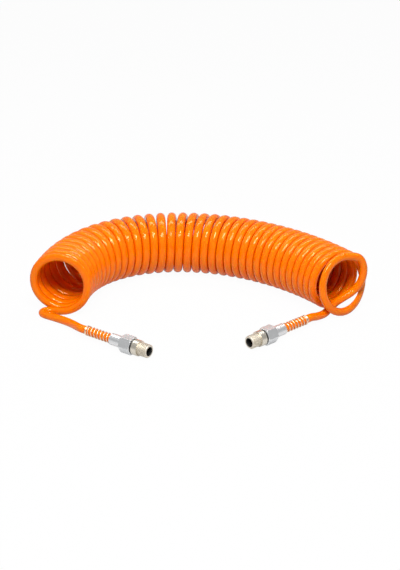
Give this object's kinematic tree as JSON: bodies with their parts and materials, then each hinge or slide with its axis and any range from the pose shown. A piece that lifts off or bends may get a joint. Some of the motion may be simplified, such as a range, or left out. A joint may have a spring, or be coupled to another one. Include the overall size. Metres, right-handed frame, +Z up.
{
  "type": "coiled air hose",
  "caption": "Self-retracting coiled polyurethane air hose with a straight tail, spring bend guard, clamp nut and male threaded swivel nipple at each end.",
  "frame": {"origin": "middle of the footprint, on the floor", "axes": "+X to the right across the arch, from the left mouth to the right mouth; +Y from the fittings towards the crown of the arch; +Z up"},
  "size_m": [0.3434, 0.2498, 0.0639],
  "materials": {
    "orange_hose": "glossy, slightly translucent polyurethane",
    "spring_wire": "bright plated spring wire",
    "satin_nut": "satin plated",
    "nickel": "bright nickel plate",
    "black_plastic": "plain",
    "ring_steel": "plain",
    "black_rubber": "matte"
  },
  "bodies": {
    "coil": {"hose_coil": "orange_hose", "hose_tail_left": "orange_hose", "spring_guard_left": "spring_wire", "clamp_nut_left": "satin_nut", "swivel_stem_left": "nickel", "thrust_washer_left": "black_plastic", "snap_ring_left": "ring_steel", "o_ring_left": "black_rubber"},
    "left_nipple": {"swivel_nipple_left": "nickel"},
    "right_end": {"hose_tail_right": "orange_hose", "spring_guard_right": "spring_wire", "clamp_nut_right": "satin_nut", "swivel_stem_right": "nickel", "thrust_washer_right": "black_plastic", "snap_ring_right": "ring_steel", "o_ring_right": "black_rubber"},
    "right_nipple": {"swivel_nipple_right": "nickel"}
  },
  "joints": [
    {"name": "left_swivel", "type": "hinge", "parent": "coil", "child": "left_nipple", "pos_m": [-0.06031, -0.1099, 0.008], "axis": [0.807, -0.5906, 0], "continuous": true},
    {"name": "coil_stretch", "type": "slide", "parent": "coil", "child": "right_end", "axis": [1, 0, 0], "range_m": [0, 1.5], "stiffness_N_per_m": 3, "deforming": ["hose_coil"]},
    {"name": "right_swivel", "type": "hinge", "parent": "right_end", "child": "right_nipple", "pos_m": [0.061, -0.08997, 0.008], "axis": [-0.749, -0.6626, 0], "continuous": true}
  ]
}
